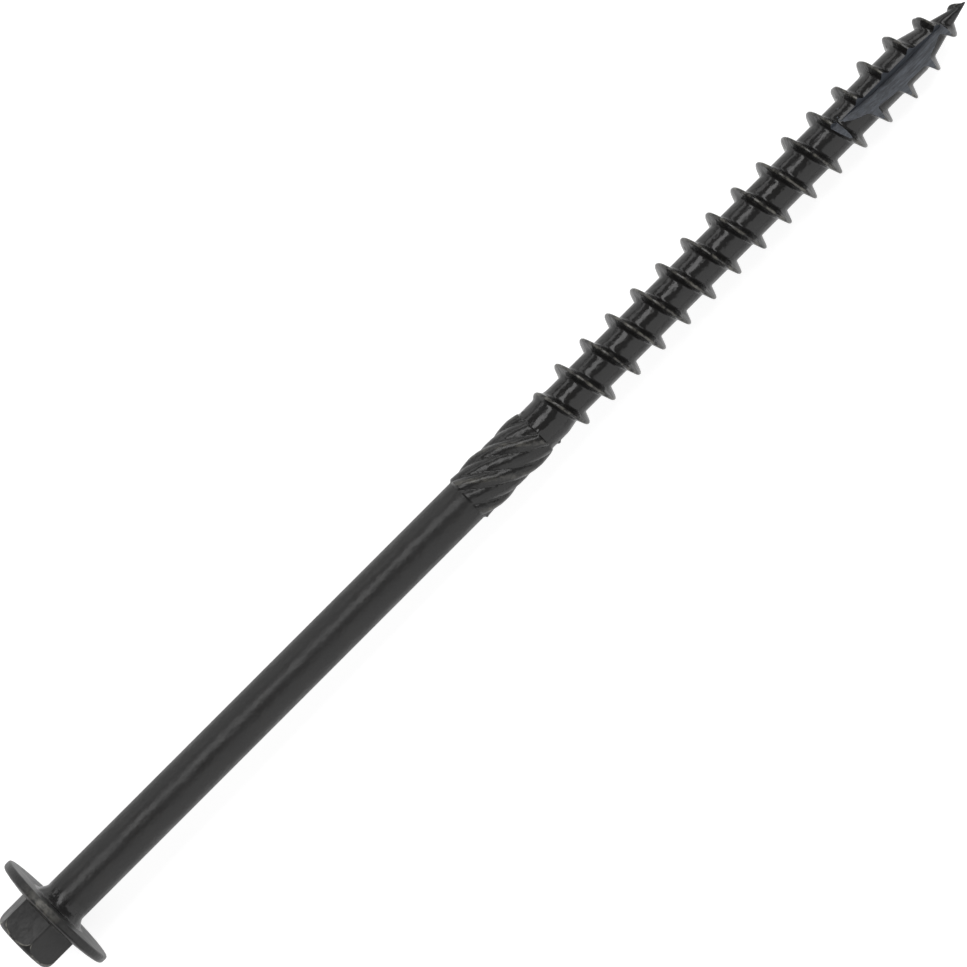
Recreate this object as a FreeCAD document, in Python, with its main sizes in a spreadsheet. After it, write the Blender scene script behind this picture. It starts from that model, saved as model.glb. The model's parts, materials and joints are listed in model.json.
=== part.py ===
import FreeCAD, Part

import math
import os

import Sketcher

# Structural wood screw with a hex washer head, cold headed and thread rolled from one blank.
# It is modelled along +X: the flange's bearing face is at X = 0, the head behind it and the tip at
# +X. The last section lays it on its side, as it comes to rest.

os.makedirs("parts", exist_ok=True)
doc = FreeCAD.newDocument("screw")

# Driving sizes, in millimetres and degrees
SIZES = [
    ("length", 152.4, "bearing face to tip"),
    ("plain_length", 68.7, "bearing face to reamer"),
    ("shank_diameter", 5.715, "rolled shank"),
    ("flange_diameter", 16.4, "washer face"),
    ("rim_thickness", 1.18, "edge of the flange"),
    ("rim_bevel", 0.3, "broken edges of the rim"),
    ("crown_rise", 0.45, "slope of the flange up to the hex"),
    ("underhead_radius", 0.9, "fillet from shank to bearing face"),
    ("head_height", 6.25, "bearing face to the top of the hex"),
    ("across_flats", 7.82, "hex for a 5/16 in socket"),
    ("hex_turn", 9.7, "angle of the first flat from the side"),
    ("corner_radius", 0.25, "rounding of the hex corners"),
    ("hex_edge_radius", 1.5, "rounding of the top edge"),
    ("hex_edge_start", 4.87, "where that rounding leaves the corners, from the bearing face"),
    ("hex_edge_diameter", 8.94, "size over the corners there"),
    ("recess_diameter", 6.87, "dish in the head, at its edge"),
    ("floor_diameter", 5.85, "dish in the head, at its floor"),
    ("recess_depth", 0.7, "dish in the head"),
    ("reamer_length", 11.5, "ridged section"),
    ("reamer_lead", 23.8, "advance of a ridge in one turn"),
    ("reamer_turn", 16.4, "angle at which the first groove starts"),
    ("reamer_pairs", 4, "pairs of a high and a low ridge"),
    ("reamer_high", 6.60, "diameter over the high ridges"),
    ("reamer_low", 6.26, "diameter over the low ridges"),
    ("reamer_groove", 5.76, "diameter in the grooves"),
    ("neck_length", 2.3, "plain stretch after the reamer"),
    ("step_length", 2.4, "taper from the neck to the thread's core"),
    ("core_diameter", 5.08, "root of the thread"),
    ("thread_diameter", 7.94, "over the crests"),
    ("pitch", 4.2333, "six threads per inch"),
    ("crest_width", 0.26, "flat of the crest"),
    ("flank_angle", 15.0, "flank from the square of the axis"),
    ("thread_gap", 1.4, "reamer to the first trace of thread"),
    ("thread_rise", 5.8, "run-in of the thread"),
    ("thread_turn", 225.9, "angle of the thread's start"),
    ("thread_fade", 11.5, "stretch before the tip where the crest falls"),
    ("thread_stop", 1.2, "end of the thread before the tip"),
    ("point_length", 9.15, "cone"),
    ("tip_diameter", 0.3, "blunt tip"),
    ("slash_radius", 40.0, "cutter that makes the slash"),
    ("slash_width", 8.0, "cutter that makes the slash"),
    ("slash_from_tip", 9.4, "deepest place before the tip"),
    ("slash_web", 0.95, "corner of the slash above the axis"),
    ("slash_tilt", 18.0, "lean of the slash's wall"),
]

sheet = doc.addObject("Spreadsheet::Sheet", "sizes")
for row, (alias, value, meaning) in enumerate(SIZES, start=1):
    sheet.set(f"A{row}", alias)
    sheet.set(f"B{row}", str(value))
    sheet.set(f"C{row}", meaning)
    sheet.setAlias(f"B{row}", alias)
doc.recompute()


def terms(text):
    """The signed terms of a sum such as "length - tip_diameter/2": sign, name, divisor."""
    sign = 1
    for word in text.split():
        if word in ("+", "-"):
            sign = 1 if word == "+" else -1
        else:
            name, _, part = word.partition("/")
            yield sign, name, float(part or 1)


def number(text):
    """The value of a sum of sizes."""
    return sum(sign * sheet.get(name) / part for sign, name, part in terms(text))


def formula(text):
    """The same sum as an expression on the sheet."""
    return " ".join(f"{'+' if sign > 0 else '-'} sizes.{name} / {part}" for sign, name, part in terms(text))


def origin_plane(body, role):
    return next(f for f in body.Origin.OriginFeatures if f.Role == role)


def new_sketch(body, name, role):
    sketch = body.newObject("Sketcher::SketchObject", name)
    sketch.AttachmentSupport = [(origin_plane(body, role), "")]
    sketch.MapMode = "FlatFace"
    return sketch


def pin(sketch, kind, line, text, point=1):
    """Hold a line's start (1) or an arc's centre (3) at a distance from the sketch's origin."""
    if text:
        index = sketch.addConstraint(Sketcher.Constraint(kind, -1, 1, line, point, number(text)))
        sketch.setExpression(f"Constraints[{index}]", formula(text))
    else:
        axis = -2 if kind == "DistanceX" else -1
        sketch.addConstraint(Sketcher.Constraint("PointOnObject", line, point, axis))


def outline(sketch, corners):
    """A closed outline of straight lines through corners, each given as two sums of sizes."""
    places = [FreeCAD.Vector(number(x), number(y), 0) for x, y in corners]
    count = len(corners)
    for i in range(count):
        sketch.addGeometry(Part.LineSegment(places[i], places[(i + 1) % count]), False)
    for i in range(count):
        sketch.addConstraint(Sketcher.Constraint("Coincident", i, 2, (i + 1) % count, 1))
    for i, (x, y) in enumerate(corners):
        pin(sketch, "DistanceX", i, x)
        pin(sketch, "DistanceY", i, y)


def turned(body, kind, name, sketch):
    """A full turn of a sketch about the screw's axis."""
    feature = body.newObject(kind, name)
    feature.Profile = sketch
    feature.ReferenceAxis = (sketch, ["H_Axis"])
    feature.Angle = 360
    sketch.Visibility = False
    doc.recompute()
    return feature


def dressed(body, kind, name, size, chosen):
    """A fillet or chamfer on the edges that a test picks."""
    base = body.Tip
    names = [f"Edge{i}" for i, edge in enumerate(base.Shape.Edges, start=1) if chosen(edge)]
    feature = body.newObject(kind, name)
    feature.Base = (base, names)
    dimension = "Radius" if kind == "PartDesign::Fillet" else "Size"
    feature.setExpression(dimension, f"sizes.{size}")
    doc.recompute()
    return feature


def circle_at(edge, place, radius):
    """Whether an edge is a circle about the screw's axis, at a place along it and of a radius."""
    curve = edge.Curve
    if not isinstance(curve, Part.Circle):
        return False
    return abs(curve.Center.x - place) < 1e-4 and abs(curve.Radius - radius) < 1e-4


# The blank: flange, shank, neck, core and point, turned from one outline
blank = doc.addObject("PartDesign::Body", "blank")
side = new_sketch(blank, "blank_outline", "XZ_Plane")
REAMER_END = "plain_length + reamer_length"
outline(side, [
    ("- rim_thickness - crown_rise", ""),
    ("- rim_thickness - crown_rise", "across_flats/2"),
    ("- rim_thickness", "flange_diameter/2"),
    ("", "flange_diameter/2"),
    ("", "shank_diameter/2"),
    (REAMER_END + " + neck_length", "shank_diameter/2"),
    (REAMER_END + " + neck_length + step_length", "core_diameter/2"),
    ("length - point_length", "core_diameter/2"),
    ("length", "tip_diameter/2"),
    ("length", ""),
])
turned(blank, "PartDesign::Revolution", "turned_blank", side)

flange_radius = number("flange_diameter/2")
dressed(blank, "PartDesign::Chamfer", "rim_edges", "rim_bevel", lambda edge: (
    circle_at(edge, 0, flange_radius) or circle_at(edge, -sheet.get("rim_thickness"), flange_radius)
))
dressed(blank, "PartDesign::Fillet", "underhead_fillet", "underhead_radius", lambda edge: (
    circle_at(edge, 0, number("shank_diameter/2"))
))

# The hex, padded back from the bearing face and turned as the head lies in the photograph
hexagon = new_sketch(blank, "hexagon", "YZ_Plane")
SIDES = 6
start_radius = number("across_flats") / math.sqrt(3)
hexagon.addGeometry(Part.Circle(FreeCAD.Vector(), FreeCAD.Vector(0, 0, 1), start_radius), True)
hexagon.addConstraint(Sketcher.Constraint("Coincident", 0, 3, -1, 1))
first_corner = sheet.get("hex_turn") + 180 / SIDES
angles = [math.radians(first_corner + i * 360 / SIDES) for i in range(SIDES)]
corners = [FreeCAD.Vector(start_radius * math.cos(a), start_radius * math.sin(a), 0) for a in angles]
for i in range(SIDES):
    hexagon.addGeometry(Part.LineSegment(corners[i], corners[(i + 1) % SIDES]), False)
for i in range(SIDES):
    following = (i + 1) % SIDES + 1
    hexagon.addConstraint(Sketcher.Constraint("Coincident", i + 1, 2, following, 1))
    hexagon.addConstraint(Sketcher.Constraint("PointOnObject", i + 1, 1, 0))
    if i:
        hexagon.addConstraint(Sketcher.Constraint("Equal", 1, i + 1))
flat = hexagon.addConstraint(Sketcher.Constraint("Distance", -1, 1, 1, number("across_flats/2")))
hexagon.setExpression(f"Constraints[{flat}]", formula("across_flats/2"))
lean = hexagon.addConstraint(Sketcher.Constraint("Angle", 1, math.radians(sheet.get("hex_turn") + 150)))
hexagon.setExpression(f"Constraints[{lean}]", "(sizes.hex_turn + 150) * 1 deg")
hex_pad = blank.newObject("PartDesign::Pad", "hex")
hex_pad.Profile = hexagon
hex_pad.setExpression("Length", "sizes.head_height")
hex_pad.Reversed = True
doc.recompute()


def hex_corner(edge):
    """Whether an edge is one of the six corners of the hex, which run along the axis."""
    if not isinstance(edge.Curve, Part.Line):
        return False
    a, b = (v.Point for v in edge.Vertexes)
    reach = math.hypot(a.y, a.z)
    return abs(a.x - b.x) > 1 and abs(reach - number("across_flats") / math.sqrt(3)) < 1e-3


dressed(blank, "PartDesign::Fillet", "hex_corners", "corner_radius", hex_corner)

# The top edge of the hex is rounded by a groove with an arc, and the head is dished
TOP_EDGE = "hex_edge_diameter/2"
BEYOND = "- hex_edge_start - hex_edge_radius - hex_edge_radius"
edge_cut = new_sketch(blank, "top_edge_outline", "XZ_Plane")
outer = number(TOP_EDGE)
round_size = sheet.get("hex_edge_radius")
start = -sheet.get("hex_edge_start")
centre = FreeCAD.Vector(start, outer - round_size, 0)
half = round_size / math.sqrt(2)
arc_start = FreeCAD.Vector(start - round_size, outer - round_size, 0)
arc_middle = centre + FreeCAD.Vector(-half, half, 0)
arc_end = FreeCAD.Vector(start, outer, 0)
clear = FreeCAD.Vector(start, outer + round_size, 0)
above = FreeCAD.Vector(start - 2 * round_size, outer + round_size, 0)
beside = FreeCAD.Vector(start - 2 * round_size, outer - round_size, 0)
edge_cut.addGeometry(Part.Arc(arc_start, arc_middle, arc_end), False)
loop = [arc_start, beside, above, clear, arc_end]
for a, b in zip(loop, loop[1:]):
    edge_cut.addGeometry(Part.LineSegment(a, b), False)
forward = edge_cut.getPoint(0, 1).distanceToPoint(arc_start) < 1e-6
first_end, last_end = (1, 2) if forward else (2, 1)
edge_cut.addConstraint(Sketcher.Constraint("Coincident", 0, first_end, 1, 1))
for i in (1, 2, 3):
    edge_cut.addConstraint(Sketcher.Constraint("Coincident", i, 2, i + 1, 1))
edge_cut.addConstraint(Sketcher.Constraint("Coincident", 4, 2, 0, last_end))
edge_cut.addConstraint(Sketcher.Constraint("Vertical", 4))
pin(edge_cut, "DistanceX", 0, "- hex_edge_start", 3)
pin(edge_cut, "DistanceY", 0, TOP_EDGE + " - hex_edge_radius", 3)
pin(edge_cut, "DistanceX", 1, "- hex_edge_start - hex_edge_radius")
pin(edge_cut, "DistanceY", 1, TOP_EDGE + " - hex_edge_radius")
pin(edge_cut, "DistanceX", 2, BEYOND)
pin(edge_cut, "DistanceY", 2, TOP_EDGE + " - hex_edge_radius")
pin(edge_cut, "DistanceX", 3, BEYOND)
pin(edge_cut, "DistanceY", 3, TOP_EDGE + " + hex_edge_radius")
pin(edge_cut, "DistanceX", 4, "- hex_edge_start")
pin(edge_cut, "DistanceY", 4, TOP_EDGE + " + hex_edge_radius")
turned(blank, "PartDesign::Groove", "top_edge", edge_cut)

dish = new_sketch(blank, "dish_outline", "XZ_Plane")
outline(dish, [
    ("- head_height - recess_depth", ""),
    ("- head_height - recess_depth", "recess_diameter/2"),
    ("- head_height", "recess_diameter/2"),
    ("- head_height + recess_depth", "floor_diameter/2"),
    ("- head_height + recess_depth", ""),
])
turned(blank, "PartDesign::Groove", "dish", dish)


def helical_solid(corner, count, end_a, end_b, lead, pieces_per_turn):
    """A solid whose section travels along the axis and turns once in each lead.

    corner(i, x) is the place of the section's corner i when the section stands at x. The edges are
    spans whose handles have the length that makes each follow its helix.
    """
    pieces = math.ceil((end_b - end_a) / lead * pieces_per_turn)
    step = (end_b - end_a) / pieces
    nudge = step / 1000
    quarter_turn = math.pi * step / lead / 2
    handle = step / (6 * nudge) * math.tan(quarter_turn) / quarter_turn

    def span(i, a, b):
        at_a = (corner(i, a + nudge) - corner(i, a - nudge)) * handle
        at_b = (corner(i, b + nudge) - corner(i, b - nudge)) * handle
        curve = Part.BezierCurve()
        curve.setPoles([corner(i, a), corner(i, a) + at_a, corner(i, b) - at_b, corner(i, b)])
        return curve.toShape()

    faces = []
    for j in range(pieces):
        edges = [span(i, end_a + j * step, end_a + (j + 1) * step) for i in range(count)]
        faces += [Part.makeRuledSurface(edges[i], edges[(i + 1) % count]) for i in range(count)]
    for x in (end_a, end_b):
        ring = [corner(i, x) for i in range(count)]
        faces.append(Part.Face(Part.makePolygon(ring + ring[:1])))
    shell = Part.makeShell(faces)
    shell.sewShape()
    solid = Part.Solid(shell)
    if solid.Volume < 0:
        solid.reverse()
    return solid


def on_helix(x, radius, angle):
    return FreeCAD.Vector(x, radius * math.cos(angle), radius * math.sin(angle))


# The reamer: right-hand ridges, high and low by turns, each a crest between two grooves
reamer_start = number("plain_length")
reamer_end = number(REAMER_END)
RIDGE_POINTS = 3
ridge_count = 2 * round(sheet.get("reamer_pairs"))
high = number("reamer_high/2")
low = number("reamer_low/2")
groove = number("reamer_groove/2")
PIECES_PER_TURN = 3


def reamer_corner(i, x):
    ridge, point = divmod(i, RIDGE_POINTS)
    crest = low if ridge % 2 else high
    radius = (groove, crest, crest)[point]
    turn = (x - reamer_start) / sheet.get("reamer_lead") + i / (RIDGE_POINTS * ridge_count)
    angle = 2 * math.pi * turn + math.radians(sheet.get("reamer_turn"))
    return on_helix(x, radius, angle)


reamer = doc.addObject("Part::Feature", "reamer")
reamer_lead = sheet.get("reamer_lead")
reamer.Shape = helical_solid(
    reamer_corner, RIDGE_POINTS * ridge_count, reamer_start, reamer_end, reamer_lead, PIECES_PER_TURN
)

# The thread: one right-hand start, climbing out of the core and falling away over the point
core_radius = number("core_diameter/2")
thread_radius = number("thread_diameter/2")
thread_start = number(REAMER_END + " + thread_gap")
thread_end = number("length - thread_stop")
slope = math.tan(math.radians(sheet.get("flank_angle")))
BURIED = 0.75


def core_at(x):
    """Radius of the core, which narrows along the point."""
    left = (sheet.get("length") - x) / sheet.get("point_length")
    return core_radius * min(1, left)


def crest_at(x):
    """Radius of the crest."""
    rise = min(1, (x - thread_start) / sheet.get("thread_rise"))
    first = BURIED * core_radius + (thread_radius - BURIED * core_radius) * (1 - (1 - rise) ** 2)
    fall = max(0, 1 - (sheet.get("length") - x) / sheet.get("thread_fade"))
    return first * (1 - fall ** 2)


def thread_corner(i, x):
    """The tooth's corners: foot, crest, crest, foot, with the feet buried in the core."""
    crest = crest_at(x)
    foot = min(BURIED * core_at(x), crest - sheet.get("crest_width") / 2)
    half_crest = min(sheet.get("crest_width") / 2, crest / 2)
    half_foot = half_crest + (crest - foot) * slope
    across = (-half_foot, -half_crest, half_crest, half_foot)[i]
    radius = (foot, crest, crest, foot)[i]
    turn = (x - thread_start) / sheet.get("pitch")
    angle = 2 * math.pi * turn + math.radians(sheet.get("thread_turn"))
    return on_helix(x + across, radius, angle)


thread = doc.addObject("Part::Feature", "thread")
thread.Shape = helical_solid(
    thread_corner, 4, thread_start, thread_end, sheet.get("pitch"), PIECES_PER_TURN
)

threaded = doc.addObject("Part::Fuse", "threaded")
threaded.Base = blank
threaded.Tool = thread
threaded.Refine = False

# The slash: a straight-sided cutter has passed over the point, and left a wall and a floor
cutter = doc.addObject("Part::Cylinder", "cutter")
cutter.setExpression("Radius", "sizes.slash_radius")
cutter.setExpression("Height", "sizes.slash_width")
tilt = math.radians(sheet.get("slash_tilt"))
across_floor = FreeCAD.Vector(0, -math.cos(tilt), math.sin(tilt))
up_wall = FreeCAD.Vector(0, math.sin(tilt), math.cos(tilt))
deepest = FreeCAD.Vector(number("length - slash_from_tip"), 0, sheet.get("slash_web"))
cutter.Placement = FreeCAD.Placement(
    deepest + up_wall * sheet.get("slash_radius"),
    FreeCAD.Rotation(FreeCAD.Vector(0, 0, 1), across_floor),
)
slashed = doc.addObject("Part::Cut", "slashed")
slashed.Base = threaded
slashed.Tool = cutter
slashed.Refine = False
screw = doc.addObject("Part::Fuse", "screw")
screw.Base = slashed
screw.Tool = reamer
screw.Refine = False
screw.Label = "screw"
doc.recompute()

# Every object must have been made
for item in doc.Objects:
    if "Invalid" in item.State or "Error" in item.State:
        raise SystemExit(f"{item.Name} could not be made: {item.State}")

# Lying on its side, it rests on the flange's rim and on the crests next to the point
SAMPLES = 2000
lean_angle = math.pi / 2
for j in range(SAMPLES + 1):
    x = thread_start + (thread_end - thread_start) * j / SAMPLES
    for i in (1, 2):
        crest_point = thread_corner(i, x)
        lean_angle = min(lean_angle, math.atan2(flange_radius + crest_point.z, crest_point.x))
screw.Placement = FreeCAD.Placement(
    FreeCAD.Vector(), FreeCAD.Rotation(FreeCAD.Vector(0, 1, 0), math.degrees(lean_angle))
)
box = screw.Shape.optimalBoundingBox(False)
screw.Placement.Base = FreeCAD.Vector(-box.Center.x, -box.Center.y, -box.ZMin)

# It is written as one valid solid
shape = screw.Shape
if shape.isNull() or not shape.isValid() or len(shape.Solids) != 1:
    raise SystemExit("the screw is not one valid solid")
shape.exportStep(f"parts/{screw.Label}.step")
placed = shape.optimalBoundingBox(False)
seat = screw.Placement.Base
print(f"bearing face at {seat.x:.4f} {seat.y:.4f} {seat.z:.4f}")
print(f"screw: {shape.Volume:.1f} mm3, {len(shape.Faces)} faces, lean {math.degrees(lean_angle):.3f} deg")
print(f"box {placed.XMin:.3f} {placed.YMin:.3f} {placed.ZMin:.3f} to", end=" ")
print(f"{placed.XMax:.3f} {placed.YMax:.3f} {placed.ZMax:.3f}")
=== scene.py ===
import json
import math

import bmesh
import bpy
from mathutils import Matrix, Vector, noise


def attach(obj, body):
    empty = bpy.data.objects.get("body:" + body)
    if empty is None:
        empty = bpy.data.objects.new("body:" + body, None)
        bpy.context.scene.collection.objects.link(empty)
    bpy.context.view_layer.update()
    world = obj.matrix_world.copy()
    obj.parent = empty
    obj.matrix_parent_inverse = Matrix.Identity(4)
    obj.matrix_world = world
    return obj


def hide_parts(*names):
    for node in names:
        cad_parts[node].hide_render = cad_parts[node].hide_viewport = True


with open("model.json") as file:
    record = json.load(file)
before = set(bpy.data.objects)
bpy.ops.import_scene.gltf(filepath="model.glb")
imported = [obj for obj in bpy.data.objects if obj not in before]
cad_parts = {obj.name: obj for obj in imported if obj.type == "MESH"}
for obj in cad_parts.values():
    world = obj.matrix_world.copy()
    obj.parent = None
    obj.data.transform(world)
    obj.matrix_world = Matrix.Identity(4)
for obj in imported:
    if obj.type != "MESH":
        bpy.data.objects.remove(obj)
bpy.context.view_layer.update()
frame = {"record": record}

# The head of the screw, which is one piece of hardened carbon steel. It is upset cold in one die: a
# domed 16.4 mm washer face and a dished hex, whose rounded top edge leaves an arc on each flat. All is
# drawn in millimetres along +X from the bearing face, and put into its place at the end.
HALF_FLATS = 3.91
CORNER_ROUND = 0.25
TOP = -6.25
TOP_ROUND = 1.5
TOP_ROUND_RADIUS = 2.97
ROUND_START = -4.87
HEX_BASE = -1.62
HEX_FLARE = 0.25
FLARE_REACH = 0.14
SOFTENED = 0.05
SOFTENED_OVER = 0.2
DISH_RADIUS = 3.40
DISH_FLOOR = TOP + 0.68
DISH_FLOOR_RADIUS = 2.62
DISH_ROUND = 0.3
LIP_ROUND = 0.16
CROWN_EDGE = 7.15
RIM = 8.2
RIM_ROUND = 0.28
SHOULDER_ROUND = 0.5
FACE_EDGE = 3.74
UNDERHEAD = ((0.02, 3.62), (0.1, 3.5), (0.27, 3.37), (0.5, 3.2), (0.74, 3.04), (0.95, 2.92), (1.15, 2.862))
FIRST_CORNER = math.radians(39.7)
TAU = 2 * math.pi
SIXTH = TAU / 6
OUTER = TOP_ROUND_RADIUS + TOP_ROUND
FIRST_ARC = math.acos((ROUND_START - TOP) / TOP_ROUND)


def line(start, end, parts):
    """Points of a straight stretch, without its first."""
    return [tuple(a + (b - a) * i / parts for a, b in zip(start, end)) for i in range(1, parts + 1)]


def arc(centre, radius, first, last, parts):
    """Points of an arc, from one angle in degrees to another."""
    angles = [math.radians(first + (last - first) * i / parts) for i in range(parts + 1)]
    return [(centre[0] + radius * math.cos(a), centre[1] + radius * math.sin(a)) for a in angles]


def spun(profile, steps, start_angle, advance=0.0):
    """A closed skin: a profile of (x, radius) turned once about the X axis, moving along by advance."""
    skin = bmesh.new()
    points = [skin.verts.new((x, r * math.cos(start_angle), r * math.sin(start_angle))) for x, r in profile]
    edges = [skin.edges.new(pair) for pair in zip(points, points[1:])]
    bmesh.ops.spin(
        skin, geom=points + edges, cent=(0, 0, 0), axis=(1, 0, 0), dvec=(advance / steps, 0, 0),
        angle=TAU, steps=steps, use_merge=not advance, use_duplicate=False,
    )
    bmesh.ops.remove_doubles(skin, verts=skin.verts, dist=1e-4)
    return skin


def polar(vert):
    """A vertex's distance from the screw's axis and its angle about it."""
    return math.hypot(vert.co.y, vert.co.z), math.atan2(vert.co.z, vert.co.y)


def set_radius(vert, radius):
    """Moves a vertex straight out from or in to the axis."""
    now = math.hypot(vert.co.y, vert.co.z)
    if now > 1e-6:
        vert.co.y *= radius / now
        vert.co.z *= radius / now


def hex_radius(angle):
    """How far the hex reaches at an angle, with its corners rounded."""
    off_corner = (angle - FIRST_CORNER + SIXTH / 2) % SIXTH - SIXTH / 2
    off_flat = SIXTH / 2 - abs(off_corner)
    corner_centre = (HALF_FLATS - CORNER_ROUND) / math.cos(SIXTH / 2)
    if HALF_FLATS * math.tan(off_flat) <= corner_centre * math.sin(SIXTH / 2):
        return HALF_FLATS / math.cos(off_flat)
    aside = corner_centre * math.sin(off_corner)
    return corner_centre * math.cos(off_corner) + math.sqrt(CORNER_ROUND ** 2 - aside ** 2)


def arc_turn(angle):
    """How far round the top edge's rounding goes before it meets the hex, at an angle about the axis."""
    reach = min(hex_radius(angle), OUTER)
    return math.asin(min(1, (reach - TOP_ROUND_RADIUS) / TOP_ROUND))


def shape_hex(vert):
    """Brings the round blank of the head in to the hex, and softens the edge of each flat's arc."""
    angle = polar(vert)[1]
    last_arc = arc_turn(angle)
    side_start = ROUND_START - TOP_ROUND * math.cos(last_arc)
    if vert.co.x < ROUND_START - 1e-4:
        share = (math.acos((ROUND_START - vert.co.x) / TOP_ROUND) - FIRST_ARC) / (TAU / 4 - FIRST_ARC)
        here = FIRST_ARC + share * (last_arc - FIRST_ARC)
        vert.co.x = ROUND_START - TOP_ROUND * math.cos(here)
        new_radius = TOP_ROUND_RADIUS + TOP_ROUND * math.sin(here)
        from_edge = TOP_ROUND * (last_arc - here)
    else:
        share = (vert.co.x - ROUND_START) / (HEX_BASE - ROUND_START)
        vert.co.x = side_start + (HEX_BASE - side_start) * share
        flare = max(0, 1 - (HEX_BASE - vert.co.x) / HEX_FLARE)
        new_radius = min(hex_radius(angle), OUTER) + FLARE_REACH * flare ** 2
        from_edge = vert.co.x - side_start
    softened = SOFTENED * math.cos(last_arc) * max(0, 1 - from_edge / SOFTENED_OVER) ** 2
    set_radius(vert, new_radius - softened)


dish = [(DISH_FLOOR, 0.02)] + line((DISH_FLOOR, 0.02), (DISH_FLOOR, DISH_FLOOR_RADIUS), 8)
dish += arc((DISH_FLOOR - DISH_ROUND, DISH_FLOOR_RADIUS), DISH_ROUND, 0, 52, 5)[1:]
dish += arc((TOP + LIP_ROUND, DISH_RADIUS), LIP_ROUND, 232, 180, 5)
top_edge = arc((ROUND_START, TOP_ROUND_RADIUS), TOP_ROUND, 180 - math.degrees(FIRST_ARC), 90, 14)
hex_side = line((ROUND_START, OUTER), (ROUND_START + 0.2, OUTER), 5)
hex_side += line((ROUND_START + 0.2, OUTER), (HEX_BASE - HEX_FLARE, OUTER), 9)
hex_side += line((HEX_BASE - HEX_FLARE, OUTER), (HEX_BASE, OUTER), 4)
crown_start = (HEX_BASE + 0.02, OUTER + 0.12)
flange = [crown_start] + line(crown_start, (-1.51, 6.1), 5) + line((-1.51, 6.1), (-1.33, CROWN_EDGE), 4)
flange += arc((-0.7, RIM - SHOULDER_ROUND), SHOULDER_ROUND, 166, 90, 7)
flange += arc((-RIM_ROUND, RIM - RIM_ROUND), RIM_ROUND, 90, 0, 5)
flange += line((0, RIM - RIM_ROUND), (0, FACE_EDGE), 10) + list(UNDERHEAD)

# The shank is smooth. Past it come the reamer's right-hand ridges, high and low by turns, which were
# pressed in by the dies: they start and stop short, with burrs. A plain neck leads to the thread.
SHANK = 2.858
REAMER_START = 68.7
REAMER_END = 80.2
REAMER_LEAD = 23.8
REAMER_TURN = 16.4 / 360
RIDGES = 8
RIDGE_HEIGHTS = (0.44, 0.26)
RIDGE_TOP = 3.3
NECK_END = 82.2
AROUND = 192
BURRS = ((81.25, 176, 0.30), (80.6, 20, 0.16), (69.0, 172, 0.12), (80.4, 96, 0.12))
shank = line((UNDERHEAD[-1][0], SHANK), (REAMER_START - 0.1, SHANK), 56)
reamer = line((REAMER_START - 0.1, SHANK), (REAMER_END + 0.3, SHANK), 76)
neck = line((REAMER_END + 0.3, SHANK), (NECK_END, SHANK), 8)
skin = spun(dish + top_edge + hex_side + flange + shank + reamer + neck, AROUND, FIRST_CORNER)


def reamer_radius(x, angle):
    """Rounded ridges between narrow grooves, scratched along by the dies."""
    turn = angle / TAU - (x - REAMER_START) / REAMER_LEAD - REAMER_TURN
    phase = turn * RIDGES
    ridge = math.floor(phase)
    rounding = abs(math.sin(math.pi * phase)) ** 0.75
    start = min(1, max(0, (x - REAMER_START) / 0.14))
    stop = min(1, max(0, (REAMER_END - x) / 0.2))
    scratch = 0.03 * noise.noise(Vector((x * 1.2, phase * 3, ridge)))
    scratch += 0.02 * noise.noise(Vector((x, phase * 9, ridge)))
    return SHANK + (RIDGE_HEIGHTS[ridge % 2] * rounding + scratch) * min(start, stop)


def burr(x, angle):
    """Scraps of metal left standing by the rolling dies: place, angle and height."""
    height = 0
    for place, turn, tall in BURRS:
        aside = (math.degrees(angle) - turn + 180) % 360 - 180
        height += tall * math.exp(-((x - place) / 0.16) ** 2 - (aside / 4) ** 2)
    return height


for vert in skin.verts:
    radius, angle = polar(vert)
    if vert.co.x < HEX_BASE + 0.01 and radius > 3.5:
        shape_hex(vert)
    elif REAMER_START - 0.3 < vert.co.x < NECK_END - 0.1:
        set_radius(vert, reamer_radius(vert.co.x, angle) + burr(vert.co.x, angle))
    elif crown_start[0] - 0.01 < vert.co.x < -1.3:
        share = (CROWN_EDGE - radius) / (CROWN_EDGE - crown_start[1])
        set_radius(vert, CROWN_EDGE - share * (CROWN_EDGE - hex_radius(angle) - FLARE_REACH))

# The thread. One right-hand start, six turns to the inch, is rolled up out of the neck in one and a
# third turns and falls away along the point. Its crests are narrow and a little rounded, more uneven
# next to the point, and its feet run into the core in a small fillet.
PITCH = 4.2333
CORE = 2.54
CREST = 3.97
CREST_AT_SIDE = 87.41
CREST_FLAT = 0.08
CREST_EDGE = 0.18
CREST_DROP = 0.08
FLANK = 0.34
FOOT = 0.16
FILLET = 0.42
NECK_STEP = 82.6
NECK_STEP_LENGTH = 2.2
THREAD_START = 81.4
THREAD_RISE = 5.8
THREAD_BURIED = 0.35
LENGTH = 152.4
CONE_TIP = LENGTH + 0.25
POINT = 9.15
FADE = 11.5
TIP_CUT = 151.9
UNEVEN_FROM = 118
UNEVEN_OVER = 14
RAGGED = 0.012
RAGGED_AT_POINT = 0.05
THREAD_AROUND = 96
PER_PITCH = 32


def core_radius(x):
    """The neck, the step down to the core, and the cone of the point."""
    step = min(1, max(0, (x - NECK_STEP) / NECK_STEP_LENGTH))
    step = step * step * (3 - 2 * step)
    radius = SHANK + (CORE - SHANK) * step
    left = CONE_TIP - x
    return min(radius, CORE * left / POINT)


def crest_radius(x):
    """How far the crest reaches, from where it starts in the neck to the point."""
    rise = min(1, max(0, (x - THREAD_START) / THREAD_RISE))
    start = SHANK - THREAD_BURIED
    reach = start + (CREST - start) * (1 - (1 - rise) ** 2)
    fall = min(1, max(0, 1 - (LENGTH - x) / FADE))
    return reach * (1 - fall ** 2)


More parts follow.
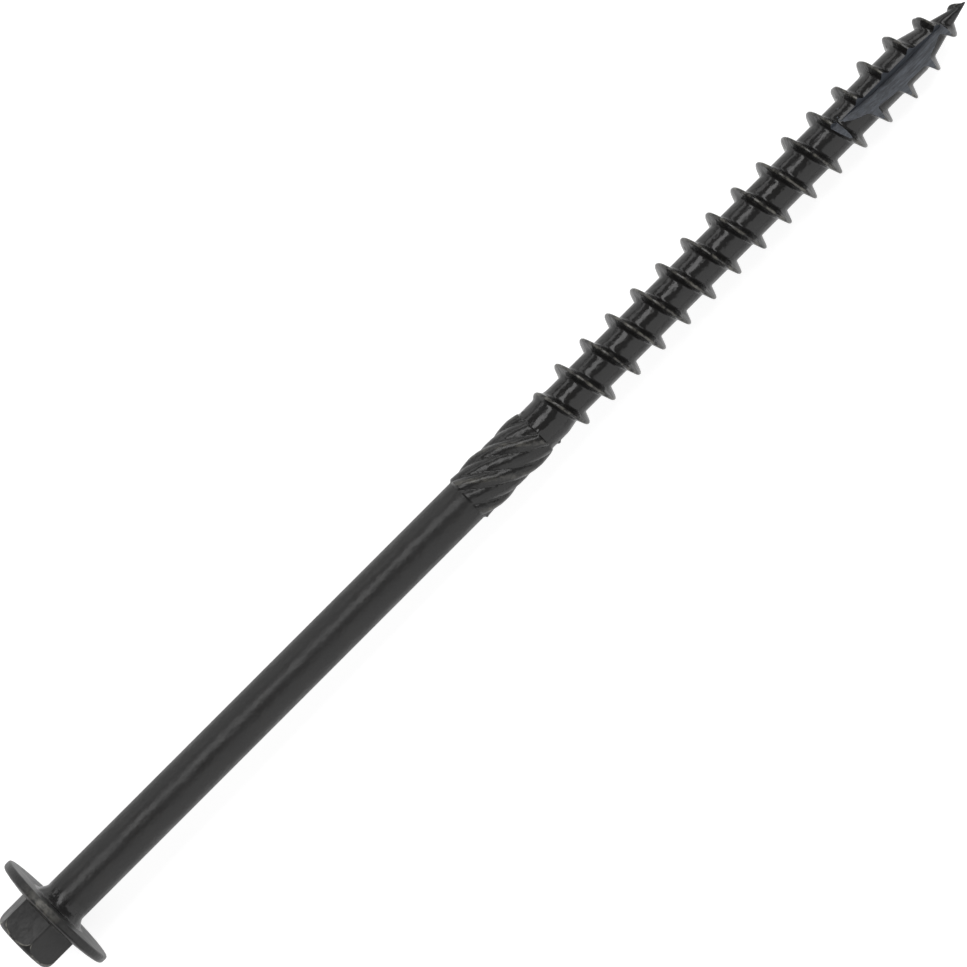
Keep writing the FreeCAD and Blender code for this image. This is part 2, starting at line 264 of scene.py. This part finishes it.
def tooth(offset):
    """How much of the crest's height stands at a distance from the crest's middle, along the axis."""
    d = abs(offset)
    if d < CREST_FLAT:
        return 1.0
    if d < CREST_EDGE:
        return 1 - CREST_DROP * ((d - CREST_FLAT) / (CREST_EDGE - CREST_FLAT)) ** 2
    flank = 1 - CREST_DROP - (d - CREST_EDGE) / FLANK * (1 - CREST_DROP - FOOT)
    if flank > FOOT:
        return flank
    fillet = max(0, 1 - (d - CREST_EDGE - FLANK) / FILLET)
    return FOOT * fillet ** 2.4


def thread_radius(x, angle):
    """The rolled surface at a place along the axis and an angle about it."""
    crest_here = CREST_AT_SIDE + PITCH * angle / TAU
    offset = (x - crest_here + PITCH / 2) % PITCH - PITCH / 2
    core = core_radius(x)
    crest_x = x - offset
    ragged = RAGGED + RAGGED_AT_POINT * min(1, max(0, (crest_x - UNEVEN_FROM) / UNEVEN_OVER))
    wave = 1 + ragged * noise.noise(Vector((crest_x * 2.6, 0.0, 3.0)))
    height = max(0, crest_radius(crest_x) * wave - core)
    return core + height * tooth(offset)


# The profile starts two turns before the crest at the side, and its points crowd at each crest
first_crest = CREST_AT_SIDE - 2 * PITCH
turns = math.ceil((LENGTH - first_crest + PITCH / 2) / PITCH) + 1
spread = [2 * i / PER_PITCH - 1 for i in range(PER_PITCH)]
offsets = [PITCH / 2 * (0.62 * u + 0.38 * u ** 3) for u in spread]
profile = [(first_crest + n * PITCH + offset, CORE) for n in range(turns) for offset in offsets]
rolled = spun(profile, THREAD_AROUND, 0.0, PITCH)
for place, clear_inner in ((NECK_END, True), (TIP_CUT, False)):
    bmesh.ops.bisect_plane(
        rolled, geom=rolled.verts[:] + rolled.edges[:] + rolled.faces[:], dist=1e-5,
        plane_co=(place, 0, 0), plane_no=(1, 0, 0), clear_inner=clear_inner, clear_outer=not clear_inner,
    )
for vert in rolled.verts:
    radius, angle = polar(vert)
    set_radius(vert, thread_radius(vert.co.x, angle))

# The tip: the end of the rolled cone is drawn in to a small blunt point
rim_edges = [e for e in rolled.edges if e.is_boundary and e.verts[0].co.x > LENGTH - 2]
for ahead, shrink in ((0.28, 0.55), (0.16, 0.3)):
    grown = bmesh.ops.extrude_edge_only(rolled, edges=rim_edges)["geom"]
    for vert in (g for g in grown if isinstance(g, bmesh.types.BMVert)):
        set_radius(vert, polar(vert)[0] * shrink)
        vert.co.x += ahead
    rim_edges = [g for g in grown if isinstance(g, bmesh.types.BMEdge) and g.is_boundary]
bmesh.ops.holes_fill(rolled, edges=rim_edges, sides=0)

# Blank and thread are one skin: they meet on the plain neck
spare = bpy.data.meshes.new("rolled_end")
rolled.to_mesh(spare)
rolled.free()
skin.from_mesh(spare)
bpy.data.meshes.remove(spare)
seam = [e for e in skin.edges if e.is_boundary and abs(e.verts[0].co.x - NECK_END) < 1e-3]
bmesh.ops.bridge_loops(skin, edges=seam)
dish_hole = [e for e in skin.edges if e.is_boundary]
bmesh.ops.holes_fill(skin, edges=dish_hole, sides=0)
bmesh.ops.recalc_face_normals(skin, faces=skin.faces)

# The slash: a straight-sided cutter passed along the point after rolling. It left a steep wall and a
# broad floor, which meet in a sharp corner just above the screw's axis.
SLASH_RADIUS = 40.0
SLASH_WIDTH = 8.0
SLASH_TILT = math.radians(18)
SLASH_FROM_TIP = 9.4
SLASH_WEB = 0.95
up_wall = Vector((0, math.sin(SLASH_TILT), math.cos(SLASH_TILT)))
across_floor = Vector((0, -math.cos(SLASH_TILT), math.sin(SLASH_TILT)))
deepest = Vector((LENGTH - SLASH_FROM_TIP, 0, SLASH_WEB))
cutter_centre = deepest + up_wall * SLASH_RADIUS
disc = bmesh.new()
bmesh.ops.create_cone(
    disc, cap_ends=True, cap_tris=False, segments=720, radius1=SLASH_RADIUS, radius2=SLASH_RADIUS,
    depth=SLASH_WIDTH,
    matrix=Matrix.Translation(cutter_centre + across_floor * SLASH_WIDTH / 2)
    @ across_floor.to_track_quat("Z", "Y").to_matrix().to_4x4(),
)


def new_object(name, shape):
    """Makes a mesh and its object from a bmesh, which is freed."""
    mesh = bpy.data.meshes.new(name)
    shape.to_mesh(mesh)
    shape.free()
    piece = bpy.data.objects.new(name, mesh)
    bpy.context.scene.collection.objects.link(piece)
    return piece


screw = new_object("screw_body", skin)
cutter = new_object("slash_cutter", disc)
slash = screw.modifiers.new("slash", "BOOLEAN")
slash.operation = "DIFFERENCE"
slash.solver = "EXACT"
slash.object = cutter
bpy.context.view_layer.update()
cut_mesh = bpy.data.meshes.new_from_object(screw.evaluated_get(bpy.context.evaluated_depsgraph_get()))
screw.modifiers.clear()
screw.data = cut_mesh
bpy.data.objects.remove(cutter)
for face in cut_mesh.polygons:
    spoke = face.center - cutter_centre
    sideways = spoke.dot(across_floor)
    spoke -= across_floor * sideways
    on_floor = abs(spoke.length - SLASH_RADIUS) < 0.01
    on_wall = abs(sideways) < 0.01 and spoke.length < SLASH_RADIUS
    face.material_index = 1 if on_floor or on_wall else 0


# The coating: a thin black corrosion coating, baked on. It is half glossy, and a fine orange peel and a
# slow swell make reflections waver. Wear thins it on hex edges, the dish's lip, the reamer's ridges and the
# crests, and a painted highlight lightens a band of the rim and a line along the base of the hex. It is
# smoother in the fillet under the head and where dies rolled the steel, past the shank.
WORN_FROM = 0.86
WORN_OVER = 0.12
# The rim's painted highlight: centred at this angle about the axis, where the rim reflects the left soft
# box, and fading out over this many degrees either side.
RIM_HIGHLIGHT_ANGLE = 77
RIM_HIGHLIGHT_SPREAD = 26


def wear_and_highlight_share(x, radius, angle):
    """How much lighter the coating shows at a place on the screw, from 0 to 1: wear on crests, ridges and
    edges, and a painted highlight on the rim and along the base of the hex.
    """
    if x > NECK_END:
        tall = max(0.2, crest_radius(x) - core_radius(x))
        return 0.6 * min(1, max(0, (radius - core_radius(x)) / tall - WORN_FROM) / WORN_OVER)
    if x > REAMER_START:
        return 0.35 * min(1, max(0, (radius - SHANK) / (RIDGE_TOP - SHANK) - WORN_FROM) / WORN_OVER)
    if x < HEX_BASE:
        off_edge = abs(x - ROUND_START + TOP_ROUND * math.cos(arc_turn(angle)))
        arc_edge = max(0, 1.5 - off_edge / 0.1) if radius > 3.6 else 0.0
        lip = max(0, 1 - abs(radius - 3.46) / 0.2) if x < TOP + 0.12 else 0.0
        # Painted highlight: a lighter line along the base of the hex, where its small flare catches the
        # light.
        painted_hex_base_highlight = 0.7 * max(0, 1 - (HEX_BASE - x) / 0.12)
        return max(arc_edge, lip, painted_hex_base_highlight)
    # Painted highlight: a lighter band on the rim where it reflects the left soft box, broken into flecks.
    if radius > 7.9:
        return 0.55 * max(0, 1 - abs(math.degrees(angle) - RIM_HIGHLIGHT_ANGLE) / RIM_HIGHLIGHT_SPREAD)
    return 0.0


def smoothness(x, radius):
    """1 where the steel under the coating is smoothest, and 0 where it is plain."""
    if REAMER_START < x < REAMER_END:
        return 0.6
    in_fillet = -0.05 < x < 1.2 and radius < 3.8
    return 1.0 if x > REAMER_END or in_fillet else 0.0


# Per vertex: the lighter share, wear and painted highlight together, and how smooth the steel is.
wear_and_highlight = []
rolled_smooth = []
for vert in cut_mesh.vertices:
    radius, angle = polar(vert)
    wear_and_highlight.append(wear_and_highlight_share(vert.co.x, radius, angle))
    rolled_smooth.append(smoothness(vert.co.x, radius))
for name, values in (("wear_and_highlight", wear_and_highlight), ("rolled_smooth", rolled_smooth)):
    cut_mesh.attributes.new(name, "FLOAT", "POINT").data.foreach_set("value", values)


def linear(code):
    """An sRGB hex colour as linear red, green, blue and alpha."""
    parts = [int(code[i:i + 2], 16) / 255 for i in (1, 3, 5)]
    return tuple(c / 12.92 if c <= 0.04045 else ((c + 0.055) / 1.055) ** 2.4 for c in parts) + (1.0,)


def node(tree, kind, settings=None, **sockets):
    """Adds a node with its settings. A socket is named with _ for each space, or by i and its number, and
    takes a value or another node's output."""
    made = tree.nodes.new(kind)
    for name, value in (settings or {}).items():
        setattr(made, name, value)
    for name, value in sockets.items():
        socket = made.inputs[int(name[1:])] if name[1:].isdigit() else made.inputs[name.replace("_", " ")]
        if isinstance(value, bpy.types.NodeSocket):
            tree.links.new(value, socket)
        else:
            socket.default_value = value
    return made


coating = bpy.data.materials.new("baked_black_coating")
coating.use_nodes = True
tree = coating.node_tree
shader = tree.nodes["Principled BSDF"]
where = node(tree, "ShaderNodeTexCoord").outputs["Object"]
peel = node(tree, "ShaderNodeTexNoise", Vector=where, Scale=1 / 0.0006, Detail=3.0, Roughness=0.55)
patches = node(tree, "ShaderNodeTexNoise", Vector=where, Scale=1 / 0.005, Detail=5.0, Roughness=0.65)
flecks = node(tree, "ShaderNodeTexNoise", Vector=where, Scale=1 / 0.0008, Detail=4.0, Roughness=0.6)
waves = node(tree, "ShaderNodeTexNoise", Vector=where, Scale=1 / 0.003, Detail=3.0, Roughness=0.6)
tint = node(
    tree, "ShaderNodeMix", {"data_type": "RGBA"}, i0=patches.outputs["Fac"], i6=linear("#161513"),
    i7=linear("#1b1b1c"),
)
# Wear and painted highlight both lighten the colour to a grey, #6d6b64, broken into flecks.
rub_and_highlight_fac = node(tree, "ShaderNodeAttribute", {"attribute_name": "wear_and_highlight"}).outputs["Fac"]
broken = node(tree, "ShaderNodeMapRange", Value=flecks.outputs["Fac"], From_Min=0.40, From_Max=0.64)
bare_and_highlit = node(tree, "ShaderNodeMath", {"operation": "MULTIPLY"}, i0=rub_and_highlight_fac, i1=broken.outputs["Result"])
colour = node(
    tree, "ShaderNodeMix", {"data_type": "RGBA"}, i0=bare_and_highlit.outputs[0], i6=tint.outputs[2],
    i7=linear("#6d6b64"),
)
smooth = node(tree, "ShaderNodeAttribute", {"attribute_name": "rolled_smooth"}).outputs["Fac"]
plain_gloss = node(
    tree, "ShaderNodeMapRange", Value=patches.outputs["Fac"], From_Min=0.3, From_Max=0.7, To_Min=0.34,
    To_Max=0.46,
)
gloss = node(
    tree, "ShaderNodeMath", {"operation": "MULTIPLY_ADD"}, i0=smooth, i1=-0.2,
    i2=plain_gloss.outputs["Result"],
)
swell = node(tree, "ShaderNodeBump", Height=waves.outputs["Fac"], Strength=0.5, Distance=0.0004)
bump = node(
    tree, "ShaderNodeBump", Height=peel.outputs["Fac"], Strength=0.45, Distance=0.00005,
    Normal=swell.outputs["Normal"],
)
tree.links.new(colour.outputs[2], shader.inputs["Base Color"])
tree.links.new(gloss.outputs[0], shader.inputs["Roughness"])
tree.links.new(bump.outputs["Normal"], shader.inputs["Normal"])
shader.inputs["IOR"].default_value = 1.45
shader.inputs["Specular IOR Level"].default_value = 0.46
cut_mesh.materials.append(coating)

# The slash's floor and wall were cut after rolling: under the same coating they are rough and greyer,
# with scratches that the cutter drew along the screw.
cut_face = bpy.data.materials.new("coated_cut_steel")
cut_face.use_nodes = True
tree = cut_face.node_tree
shader = tree.nodes["Principled BSDF"]
where = node(tree, "ShaderNodeTexCoord").outputs["Object"]
drawn = node(tree, "ShaderNodeMapping", Vector=where, Scale=(0.5, 5.0, 5.0)).outputs["Vector"]
strokes = node(tree, "ShaderNodeTexNoise", Vector=drawn, Scale=1 / 0.0012, Detail=5.0, Roughness=0.75)
stroke_share = node(tree, "ShaderNodeMapRange", Value=strokes.outputs["Fac"], From_Min=0.40, From_Max=0.74)
grain = node(
    tree, "ShaderNodeMix", {"data_type": "RGBA"}, i0=stroke_share.outputs["Result"], i6=linear("#2a2d32"),
    i7=linear("#50555d"),
)
furrows = node(tree, "ShaderNodeBump", Height=strokes.outputs["Fac"], Strength=0.2, Distance=0.00005)
tree.links.new(grain.outputs[2], shader.inputs["Base Color"])
tree.links.new(furrows.outputs["Normal"], shader.inputs["Normal"])
shader.inputs["Roughness"].default_value = 0.5
shader.inputs["IOR"].default_value = 1.45
cut_mesh.materials.append(cut_face)

# In its place: the axis runs through the middle of the bearing face, square to that face
seat = next(m for m in frame["record"]["mounts"] if m["name"] == "bearing_face")
along = Vector(seat["axis"]).normalized()
middle = Vector((seat["pos_m"][0], 0, seat["pos_m"][2]))
across = Vector((0, 1, 0))
upward = along.cross(across)
place = Matrix((along, across, upward)).transposed().to_4x4()
place.translation = middle
cut_mesh.transform(place @ Matrix.Scale(0.001, 4))
for face in cut_mesh.polygons:
    face.use_smooth = True
cut_mesh.set_sharp_from_angle(angle=math.radians(38))
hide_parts("screw")
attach(screw, "root")

# Camera: square to the screw's axis, with the screw running from lower left to upper right
MM_PER_PIXEL = 0.11885
IMAGE = 967
DISTANCE = 0.888
AIM = 71.4
camera_data = bpy.data.cameras.new("camera")
camera = bpy.data.objects.new("camera", camera_data)
bpy.context.scene.collection.objects.link(camera)
bpy.context.scene.camera = camera
view_right = (along - across).normalized()
view_up = (along + across).normalized()
aim = middle + along * AIM / 1000
turn = Matrix((view_right, view_up, view_right.cross(view_up))).transposed().to_4x4()
camera.matrix_world = Matrix.Translation(aim + upward * DISTANCE) @ turn
camera_data.sensor_width = 36
camera_data.lens = 36 * DISTANCE / (IMAGE * MM_PER_PIXEL / 1000)
camera_data.clip_end = 10

# Floor: plain pale paper that looks white to the camera, keeps the screw's shadow, and shows half as
# bright in the coating's reflections
floor_shape = bmesh.new()
bmesh.ops.create_grid(floor_shape, x_segments=2, y_segments=2, size=3.0)
floor = new_object("floor", floor_shape)
paper = bpy.data.materials.new("white_paper")
paper.use_nodes = True
floor.data.materials.append(paper)
tree = paper.node_tree
sheet = tree.nodes["Principled BSDF"]
rays = node(tree, "ShaderNodeLightPath").outputs
seen = node(
    tree, "ShaderNodeMath", {"operation": "MULTIPLY_ADD"}, i0=rays["Is Glossy Ray"], i1=0.5,
    i2=rays["Is Camera Ray"],
)
seen = node(
    tree, "ShaderNodeMath", {"operation": "MAXIMUM"}, i0=seen.outputs[0], i1=rays["Is Transmission Ray"],
)
paper_tint = node(
    tree, "ShaderNodeMix", {"data_type": "RGBA"}, i0=seen.outputs[0], i6=linear("#eeeeee"),
    i7=linear("#b8b8b8"),
)
glow = node(tree, "ShaderNodeMath", {"operation": "MULTIPLY"}, i0=seen.outputs[0], i1=0.74)
tree.links.new(paper_tint.outputs[2], sheet.inputs["Base Color"])
tree.links.new(glow.outputs[0], sheet.inputs["Emission Strength"])
sheet.inputs["Emission Color"].default_value = (1, 1, 1, 1)
sheet.inputs["Roughness"].default_value = 0.9
sheet.inputs["Specular IOR Level"].default_value = 0.0


# Light: three soft boxes along the screw and a weak even world
def studio_lamp(name, lean, size, radiance, ahead=0.0, distance=0.9):
    """A soft box along the screw, leaning from overhead towards the camera's left."""
    data = bpy.data.lights.new(name, "AREA")
    data.shape = "RECTANGLE"
    data.size, data.size_y = size
    data.energy = radiance * math.pi * size[0] * size[1]
    lamp = bpy.data.objects.new(name, data)
    bpy.context.scene.collection.objects.link(lamp)
    away = Vector((0, math.sin(math.radians(lean)), math.cos(math.radians(lean))))
    level = Vector((1, 0, 0))
    facing = Matrix((level, away.cross(level), away)).transposed().to_4x4()
    lamp.matrix_world = Matrix.Translation(aim + away * distance + level * ahead) @ facing


studio_lamp("low_left_box", 72, (1.6, 0.26), 1.9)
studio_lamp("left_box", 27, (2.8, 0.33), 3.9, ahead=0.6)
studio_lamp("right_box", -54, (1.6, 1.21), 1.15)
world = bpy.data.worlds.new("studio")
world.use_nodes = True
bpy.context.scene.world = world
world.node_tree.nodes["Background"].inputs["Color"].default_value = (1, 1, 1, 1)
world.node_tree.nodes["Background"].inputs["Strength"].default_value = 0.2

bpy.context.scene.view_settings.view_transform = "Standard"
